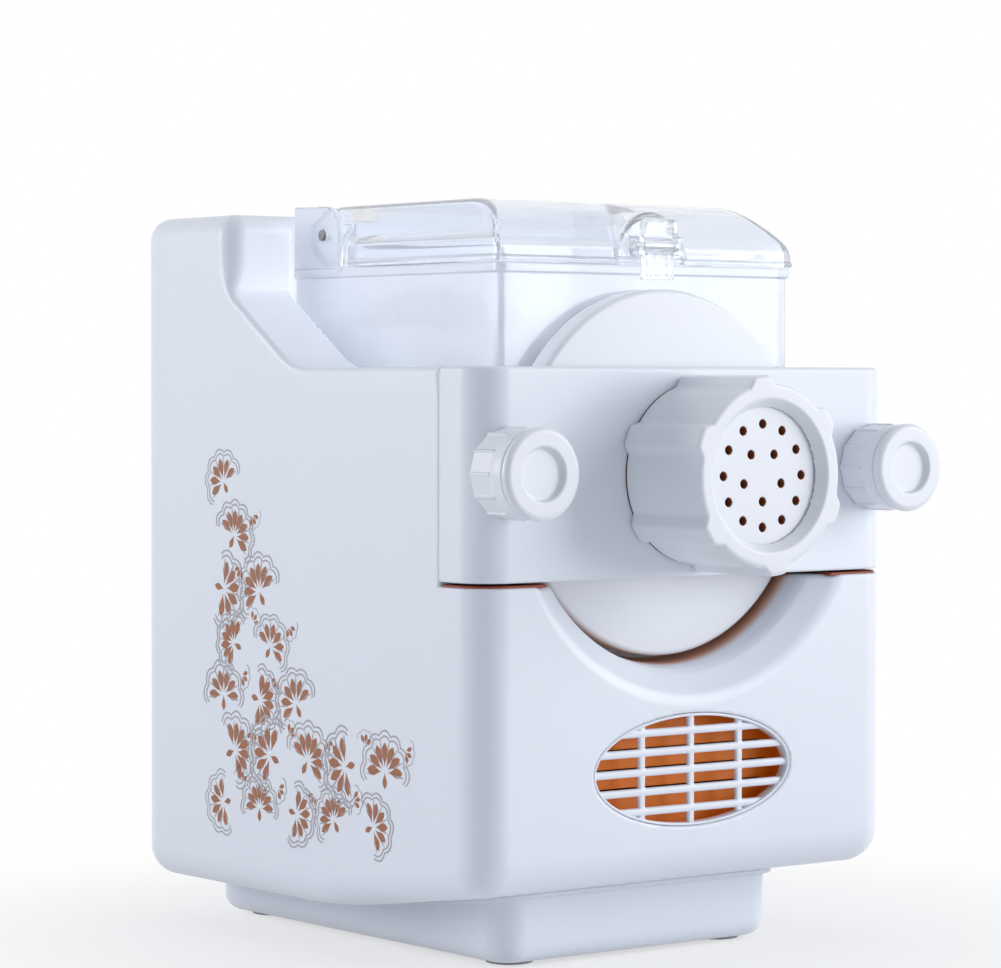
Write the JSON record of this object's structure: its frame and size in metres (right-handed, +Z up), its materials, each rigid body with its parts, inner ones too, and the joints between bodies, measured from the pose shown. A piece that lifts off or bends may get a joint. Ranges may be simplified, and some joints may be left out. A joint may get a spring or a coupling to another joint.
{
  "type": "electric pasta maker",
  "caption": "Bench-top dough mixer and extruder: white housing with a clear lidded bowl, a crossbar held by thumb screws, a lobed nozzle nut with a round die and an oval vent.",
  "frame": {"origin": "on the surface it stands on, under the centre of the whole machine's footprint, nozzle included", "axes": "+X to the viewer's right when the nozzle is seen from the front, +Y from the nozzle to the rear cover, +Z up"},
  "size_m": [0.2104, 0.2696, 0.2843],
  "materials": {
    "white_housing": "satin-gloss moulded plastic",
    "white_base": "satin moulded plastic",
    "white_fittings": "gloss moulded plastic",
    "grey_buttons": "satin moulded plastic",
    "clear_plastic": "clear moulded plastic",
    "orange_tray": "satin moulded plastic",
    "grey_rubber": "matte moulded rubber",
    "black_plastic": "matte moulded plastic",
    "nylon": "moulded nylon",
    "circuit_board": "printed board",
    "steel": "machined steel",
    "dark_steel": "blackened steel",
    "brass": "machined brass"
  },
  "bodies": {
    "root": {"main_housing": "white_housing", "rear_cover": "white_housing", "base_tray": "white_base", "vent_grille": "white_housing", "vent_tray": "orange_tray", "foot_front_left": "grey_rubber", "foot_front_right": "grey_rubber", "foot_rear_left": "grey_rubber", "foot_rear_right": "grey_rubber", "motor": "dark_steel", "gear_plate": "steel", "gearbox_cover": "black_plastic", "intermediate_axle": "steel", "output_bearing": "brass", "control_panel": "white_fittings", "circuit_board": "circuit_board", "safety_switch": "black_plastic", "power_inlet": "black_plastic", "left_insert": "brass", "right_insert": "brass"},
    "rotor": {"motor_shaft": "steel", "motor_pinion": "brass", "cooling_fan": "black_plastic"},
    "idler": {"intermediate_gear": "nylon"},
    "drive": {"output_gear": "nylon", "output_shaft": "steel"},
    "bowl": {"mixing_bowl": "clear_plastic", "shaft_seal": "grey_rubber"},
    "lid": {"lid": "clear_plastic", "lid_magnet": "black_plastic", "hinge_pin_left": "dark_steel", "hinge_pin_right": "dark_steel", "latch_pin": "steel"},
    "latch": {"lid_latch": "clear_plastic"},
    "auger": {"mixing_auger": "white_fittings"},
    "front_unit": {"crossbar": "white_housing", "front_disc": "white_fittings", "bowl_seal": "grey_rubber", "extrusion_barrel": "white_fittings"},
    "die": {"die_plate": "white_fittings"},
    "nut": {"nozzle_nut": "white_fittings"},
    "left_clamp": {"left_washer": "steel"},
    "left_knob": {"left_knob": "white_fittings", "left_screw": "steel"},
    "right_clamp": {"right_washer": "steel"},
    "right_knob": {"right_knob": "white_fittings", "right_screw": "steel"},
    "button_1": {"button_1": "grey_buttons"},
    "button_2": {"button_2": "grey_buttons"},
    "button_3": {"button_3": "grey_buttons"}
  },
  "joints": [
    {"name": "bowl_slide", "type": "slide", "parent": "root", "child": "bowl", "axis": [0, -1, 0], "range_m": [0, 0.135]},
    {"name": "front_slide", "type": "slide", "parent": "bowl", "child": "front_unit", "axis": [0, -1, 0], "range_m": [0, 0.065]},
    {"name": "die_slide", "type": "slide", "parent": "front_unit", "child": "die", "axis": [0, -1, 0], "range_m": [0, 0.012]},
    {"name": "nut_turn", "type": "hinge", "parent": "die", "child": "nut", "pos_m": [0, -0.11395, 0.182], "axis": [0, -1, 0], "range_deg": [0, 1080]},
    {"name": "left_clamp_slide", "type": "slide", "parent": "front_unit", "child": "left_clamp", "axis": [0, -1, 0], "range_m": [0, 0.012]},
    {"name": "left_knob_turn", "type": "hinge", "parent": "left_clamp", "child": "left_knob", "pos_m": [-0.0885, -0.10395, 0.1834], "axis": [0, -1, 0], "range_deg": [0, 1080]},
    {"name": "right_clamp_slide", "type": "slide", "parent": "front_unit", "child": "right_clamp", "axis": [0, -1, 0], "range_m": [0, 0.012]},
    {"name": "right_knob_turn", "type": "hinge", "parent": "right_clamp", "child": "right_knob", "pos_m": [0.0885, -0.10395, 0.1834], "axis": [0, -1, 0], "range_deg": [0, 1080]},
    {"name": "lid_hinge", "type": "hinge", "parent": "bowl", "child": "lid", "pos_m": [0, 0.04805, 0.2725], "axis": [-1, 0, 0], "range_deg": [0, 85]},
    {"name": "latch_pivot", "type": "hinge", "parent": "lid", "child": "latch", "pos_m": [0, -0.07025, 0.2665], "axis": [-1, 0, 0], "range_deg": [0, 8], "stiffness_Nm_per_rad": 0.05, "springref_deg": -8.59},
    {"name": "auger_spin", "type": "hinge", "parent": "bowl", "child": "auger", "pos_m": [0, 0.02105, 0.182], "axis": [0, -1, 0], "continuous": true},
    {"name": "rotor_spin", "type": "hinge", "parent": "root", "child": "rotor", "pos_m": [0, 0.02105, 0.065], "axis": [0, -1, 0], "continuous": true},
    {"name": "idler_spin", "type": "hinge", "parent": "root", "child": "idler", "pos_m": [0, 0.08105, 0.119], "axis": [0, -1, 0], "continuous": true},
    {"name": "drive_spin", "type": "hinge", "parent": "root", "child": "drive", "pos_m": [0, 0.08105, 0.182], "axis": [0, -1, 0], "continuous": true},
    {"name": "button_1_press", "type": "slide", "parent": "root", "child": "button_1", "axis": [0, 0, -1], "range_m": [0, 0.0015], "stiffness_N_per_m": 400, "springref_m": -0.0015},
    {"name": "button_2_press", "type": "slide", "parent": "root", "child": "button_2", "axis": [0, 0, -1], "range_m": [0, 0.0015], "stiffness_N_per_m": 400, "springref_m": -0.0015},
    {"name": "button_3_press", "type": "slide", "parent": "root", "child": "button_3", "axis": [0, 0, -1], "range_m": [0, 0.0015], "stiffness_N_per_m": 400, "springref_m": -0.0015}
  ],
  "couplings": [
    {"joint": "nut_turn", "follows": "die_slide", "rad_per_m": 1570.8},
    {"joint": "left_knob_turn", "follows": "left_clamp_slide", "rad_per_m": 1570.8},
    {"joint": "right_knob_turn", "follows": "right_clamp_slide", "rad_per_m": 1570.8},
    {"joint": "auger_spin", "follows": "drive_spin", "ratio": 1},
    {"joint": "idler_spin", "follows": "drive_spin", "ratio": -3.6667},
    {"joint": "rotor_spin", "follows": "drive_spin", "ratio": 14.333}
  ]
}
